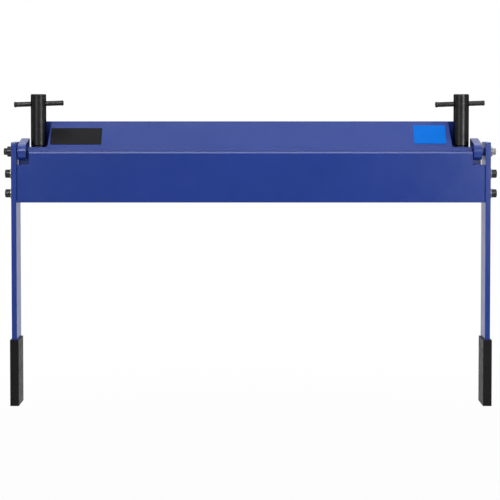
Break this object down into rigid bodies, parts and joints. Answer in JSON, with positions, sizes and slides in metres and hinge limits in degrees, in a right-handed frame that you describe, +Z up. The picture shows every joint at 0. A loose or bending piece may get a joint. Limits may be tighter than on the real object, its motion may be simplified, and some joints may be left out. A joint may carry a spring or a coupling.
{
  "type": "sheet metal bending machine",
  "caption": "Bench-edge sheet metal bender: angle-iron bed, sloped clamp bar under tall sleeve nuts with tommy bars, and a bending leaf swung by long gripped handles.",
  "frame": {"origin": "middle of the bed's flat underside, the face that rests on the bench", "axes": "+X to the operator's right along the bed, +Y away from the operator over the bench, +Z up"},
  "size_m": [0.953, 0.1238, 0.6026],
  "materials": {
    "blue_paint": "violet-blue sprayed enamel, semi-gloss, fine orange peel",
    "black_grip": "matt black moulded grip",
    "black_steel": "turned steel, black oxide, lightly oiled",
    "zinc_steel": "bright zinc plate",
    "spring_steel": "drawn spring wire"
  },
  "bodies": {
    "bed": {"bed_angle": "blue_paint", "left_hinge_lug": "blue_paint", "right_hinge_lug": "blue_paint", "left_stud_block": "blue_paint", "right_stud_block": "blue_paint", "left_clamp_stud": "zinc_steel", "right_clamp_stud": "zinc_steel", "left_lift_spring": "spring_steel", "right_lift_spring": "spring_steel", "left_pivot_stud": "zinc_steel", "right_pivot_stud": "zinc_steel", "left_pivot_spacer": "blue_paint", "right_pivot_spacer": "blue_paint", "left_pivot_washer": "black_steel", "right_pivot_washer": "zinc_steel", "left_pivot_nut": "black_steel", "right_pivot_nut": "zinc_steel"},
    "clamp_bar": {"clamp_angle": "blue_paint", "clamp_face": "blue_paint", "left_thrust_washer": "black_steel", "right_thrust_washer": "black_steel"},
    "left_nut": {"left_clamp_nut": "black_steel"},
    "right_nut": {"right_clamp_nut": "black_steel"},
    "left_bar": {"left_tommy_bar": "black_steel"},
    "right_bar": {"right_tommy_bar": "black_steel"},
    "leaf": {"leaf_plate": "blue_paint", "left_handle": "blue_paint", "right_handle": "blue_paint", "left_grip": "black_grip", "right_grip": "black_grip", "left_upper_handle_screw": "black_steel", "left_lower_handle_screw": "black_steel", "right_upper_handle_screw": "black_steel", "right_lower_handle_screw": "black_steel", "left_upper_screw_washer": "zinc_steel", "left_lower_screw_washer": "zinc_steel", "right_upper_screw_washer": "zinc_steel", "right_lower_screw_washer": "zinc_steel"}
  },
  "joints": [
    {"name": "leaf_hinge", "type": "hinge", "parent": "bed", "child": "leaf", "pos_m": [0, -0.0543, 0.008], "axis": [-1, 0, 0], "range_deg": [0, 95]},
    {"name": "clamp_lift", "type": "slide", "parent": "bed", "child": "clamp_bar", "axis": [0, 0, 1], "range_m": [0, 0.01], "deforming": ["left_lift_spring", "right_lift_spring"]},
    {"name": "left_nut_turn", "type": "hinge", "parent": "clamp_bar", "child": "left_nut", "pos_m": [-0.4125, -0.032, 0.06], "axis": [0, 0, 1], "range_deg": [0, 1800]},
    {"name": "right_nut_turn", "type": "hinge", "parent": "clamp_bar", "child": "right_nut", "pos_m": [0.4125, -0.032, 0.06], "axis": [0, 0, 1], "range_deg": [0, 1800]},
    {"name": "left_bar_slide", "type": "slide", "parent": "left_nut", "child": "left_bar", "axis": [0.9994, 0, 0.0349], "range_m": [-0.0282, 0.0268]},
    {"name": "right_bar_slide", "type": "slide", "parent": "right_nut", "child": "right_bar", "axis": [0.9994, 0, 0.0349], "range_m": [-0.0249, 0.0301]}
  ],
  "couplings": [
    {"joint": "left_nut_turn", "follows": "clamp_lift", "rad_per_m": 3141.6},
    {"joint": "right_nut_turn", "follows": "clamp_lift", "rad_per_m": 3141.6}
  ]
}
